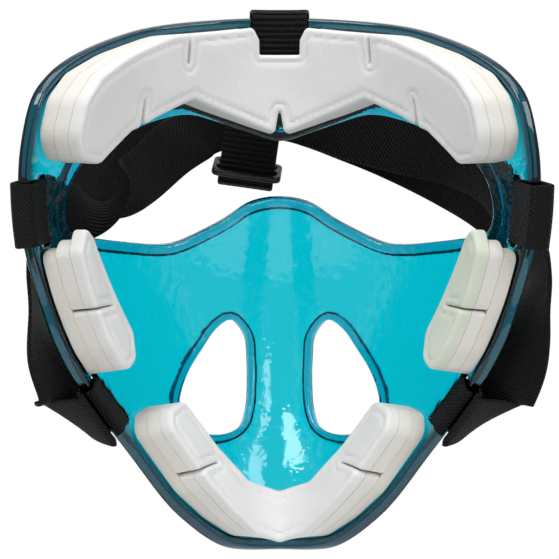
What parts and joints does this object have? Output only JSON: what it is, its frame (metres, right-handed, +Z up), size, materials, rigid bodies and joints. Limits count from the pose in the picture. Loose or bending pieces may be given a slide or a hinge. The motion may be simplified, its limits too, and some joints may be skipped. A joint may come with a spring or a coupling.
{
  "type": "face protection mask",
  "caption": "Clear tinted wrap-around sports face mask with layered foam brow, cheek and chin pads and an elastic strap harness.",
  "frame": {"origin": "where the middle of the wearer's brow meets the inner face of the brow pad", "axes": "+Z up the face, +Y forwards out of the face, +X to the side that a viewer behind the mask has on the right"},
  "size_m": [0.2113, 0.1128, 0.2334],
  "materials": {
    "shell": "clear teal polycarbonate, moulded gloss",
    "brow_pad_base": "closed-cell foam, matt",
    "brow_pad_core": "closed-cell foam, matt",
    "brow_pad_face": "closed-cell foam, matt",
    "cheek_pad_left_base": "closed-cell foam, matt",
    "cheek_pad_left_core": "closed-cell foam, matt",
    "cheek_pad_left_face": "closed-cell foam, matt",
    "cheek_pad_right_base": "closed-cell foam, matt",
    "cheek_pad_right_core": "closed-cell foam, matt",
    "cheek_pad_right_face": "closed-cell foam, matt",
    "chin_pad_base": "closed-cell foam, matt",
    "chin_pad_core": "closed-cell foam, matt",
    "chin_pad_face": "closed-cell foam, matt",
    "upper_loop_left": "woven elastic webbing",
    "upper_loop_right": "woven elastic webbing",
    "lower_loop_left": "woven elastic webbing",
    "lower_loop_right": "woven elastic webbing",
    "top_loop": "woven elastic webbing",
    "upper_strap_left": "woven elastic webbing",
    "upper_strap_right": "woven elastic webbing",
    "lower_strap_left": "woven elastic webbing",
    "lower_strap_right": "woven elastic webbing",
    "top_strap": "woven elastic webbing",
    "top_strap_loop": "woven elastic webbing",
    "top_slider": "moulded black, satin gloss"
  },
  "bodies": {
    "shell": {"shell": "shell", "brow_pad_base": "brow_pad_base", "brow_pad_core": "brow_pad_core", "brow_pad_face": "brow_pad_face", "cheek_pad_left_base": "cheek_pad_left_base", "cheek_pad_left_core": "cheek_pad_left_core", "cheek_pad_left_face": "cheek_pad_left_face", "cheek_pad_right_base": "cheek_pad_right_base", "cheek_pad_right_core": "cheek_pad_right_core", "cheek_pad_right_face": "cheek_pad_right_face", "chin_pad_base": "chin_pad_base", "chin_pad_core": "chin_pad_core", "chin_pad_face": "chin_pad_face", "upper_loop_left": "upper_loop_left", "upper_loop_right": "upper_loop_right", "lower_loop_left": "lower_loop_left", "lower_loop_right": "lower_loop_right", "top_loop": "top_loop"},
    "harness": {"upper_strap_left": "upper_strap_left", "upper_strap_right": "upper_strap_right", "lower_strap_left": "lower_strap_left", "lower_strap_right": "lower_strap_right", "top_strap": "top_strap", "top_strap_loop": "top_strap_loop"},
    "slider": {"top_slider": "top_slider"}
  },
  "joints": [
    {"name": "harness_swing", "type": "hinge", "parent": "shell", "child": "harness", "pos_m": [0, -0.0364, -0.0531], "axis": [1, 0, 0], "range_deg": [-10, 12], "deforming": ["upper_strap_left", "upper_strap_right", "lower_strap_left", "lower_strap_right", "top_strap"]},
    {"name": "slider_adjust", "type": "slide", "parent": "harness", "child": "slider", "axis": [0.1392, 0, 0.9903], "range_m": [-0.002, 0.0025]}
  ]
}
